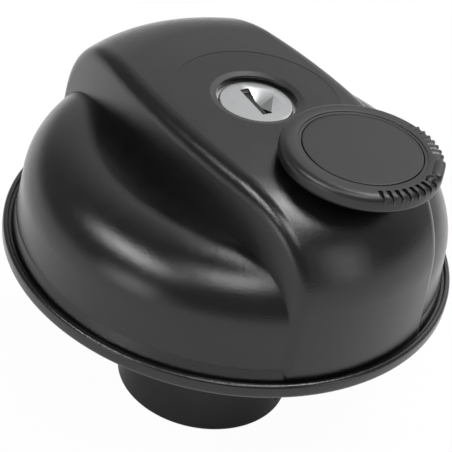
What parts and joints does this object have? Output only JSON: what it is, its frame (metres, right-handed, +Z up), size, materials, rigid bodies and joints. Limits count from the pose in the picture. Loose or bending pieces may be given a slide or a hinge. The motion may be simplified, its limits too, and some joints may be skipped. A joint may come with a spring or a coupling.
{
  "type": "fuel filler cap",
  "caption": "Locking fuel filler cap: round skirt with a tall grip bar, a dust cover that swings off the key lock, and a valved plug with bayonet ears.",
  "frame": {"origin": "centre of the plug's lower end, on the cap's axis", "axes": "+Z up the cap's axis to the lock, X along the grip bar with the open dust cover towards +X"},
  "size_m": [0.096, 0.096, 0.0796],
  "materials": {
    "grip_plastic": "satin, finely grained black nylon",
    "cover_plastic": "matte dark grey",
    "inlay_plastic": "smooth matte dark grey",
    "plug_plastic": "smooth moulded black",
    "latch_plastic": "natural acetal",
    "valve_plastic": "natural moulded",
    "seal_rubber": "matte",
    "zinc_casting": "die-cast zinc",
    "bright_steel": "bright",
    "shutter_steel": "blackened",
    "zinc_plated_steel": "zinc plated",
    "screw_steel": "zinc plated",
    "spring_steel": "plain spring steel",
    "wafer_brass": "stamped",
    "brass_turned": "turned"
  },
  "bodies": {
    "plug": {"plug_body": "plug_plastic", "seal_ring": "seal_rubber", "drive_ring": "latch_plastic", "ring_screws": "screw_steel", "bayonet_bracket": "zinc_plated_steel", "baffle_cup": "plug_plastic", "valve_cage": "valve_plastic", "pressure_spring": "spring_steel"},
    "grip": {"grip_body": "grip_plastic", "retaining_plate": "zinc_plated_steel", "plate_screws": "screw_steel", "wave_washer": "spring_steel", "lock_housing": "zinc_casting", "housing_screws": "screw_steel", "cover_washer": "spring_steel"},
    "cover": {"dust_cover": "cover_plastic", "cover_inlay": "inlay_plastic", "cover_push_nut": "spring_steel"},
    "barrel": {"lock_barrel": "zinc_casting", "barrel_face": "bright_steel", "barrel_circlip": "spring_steel", "shutter_pin": "screw_steel"},
    "shutter": {"key_shutter": "shutter_steel"},
    "latch": {"latch_bolt": "latch_plastic"},
    "pressure_valve": {"pressure_disc": "zinc_plated_steel", "valve_gasket": "seal_rubber", "vacuum_spring": "spring_steel"},
    "vacuum_valve": {"vacuum_poppet": "brass_turned", "vacuum_clip": "spring_steel"},
    "wafer_1_body": {"wafer_1": "wafer_brass"},
    "wafer_2_body": {"wafer_2": "wafer_brass"},
    "wafer_3_body": {"wafer_3": "wafer_brass"},
    "wafer_4_body": {"wafer_4": "wafer_brass"},
    "wafer_5_body": {"wafer_5": "wafer_brass"}
  },
  "joints": [
    {"name": "grip_spin", "type": "hinge", "parent": "plug", "child": "grip", "pos_m": [0, 0, 0.05], "axis": [0, 0, 1], "continuous": true},
    {"name": "cover_swing", "type": "hinge", "parent": "grip", "child": "cover", "pos_m": [0.01505, 0, 0.076], "axis": [0, 0, 1], "range_deg": [-14.7, 165.3]},
    {"name": "barrel_turn", "type": "hinge", "parent": "grip", "child": "barrel", "pos_m": [0, 0, 0.065], "axis": [0, 0, -1], "range_deg": [0, 90]},
    {"name": "latch_slide", "type": "slide", "parent": "grip", "child": "latch", "axis": [1, 0, 0], "range_m": [0, 0.0032]},
    {"name": "shutter_flap", "type": "hinge", "parent": "barrel", "child": "shutter", "pos_m": [-0.00021, -0.00199, 0.07135], "axis": [-0.9945, 0.1045, 0], "range_deg": [0, 88], "stiffness_Nm_per_rad": 0.0003, "springref_deg": -22.92},
    {"name": "wafer_1_slide", "type": "slide", "parent": "barrel", "child": "wafer_1_body", "axis": [0.9945, -0.1045, 0], "range_m": [0, 0.0006]},
    {"name": "wafer_2_slide", "type": "slide", "parent": "barrel", "child": "wafer_2_body", "axis": [0.9945, -0.1045, 0], "range_m": [0, 0.0006]},
    {"name": "wafer_3_slide", "type": "slide", "parent": "barrel", "child": "wafer_3_body", "axis": [0.9945, -0.1045, 0], "range_m": [0, 0.0006]},
    {"name": "wafer_4_slide", "type": "slide", "parent": "barrel", "child": "wafer_4_body", "axis": [0.9945, -0.1045, 0], "range_m": [0, 0.0006]},
    {"name": "wafer_5_slide", "type": "slide", "parent": "barrel", "child": "wafer_5_body", "axis": [0.9945, -0.1045, 0], "range_m": [0, 0.0006]},
    {"name": "pressure_lift", "type": "slide", "parent": "plug", "child": "pressure_valve", "axis": [0, 0, 1], "range_m": [0, 0.003], "stiffness_N_per_m": 300, "springref_m": -0.0067, "deforming": ["pressure_spring"]},
    {"name": "vacuum_drop", "type": "slide", "parent": "pressure_valve", "child": "vacuum_valve", "axis": [0, 0, -1], "range_m": [0, 0.0015], "stiffness_N_per_m": 60, "springref_m": -0.004, "deforming": ["vacuum_spring"]}
  ],
  "couplings": [
    {"joint": "latch_slide", "follows": "barrel_turn", "m_per_rad": 0.0019807}
  ]
}
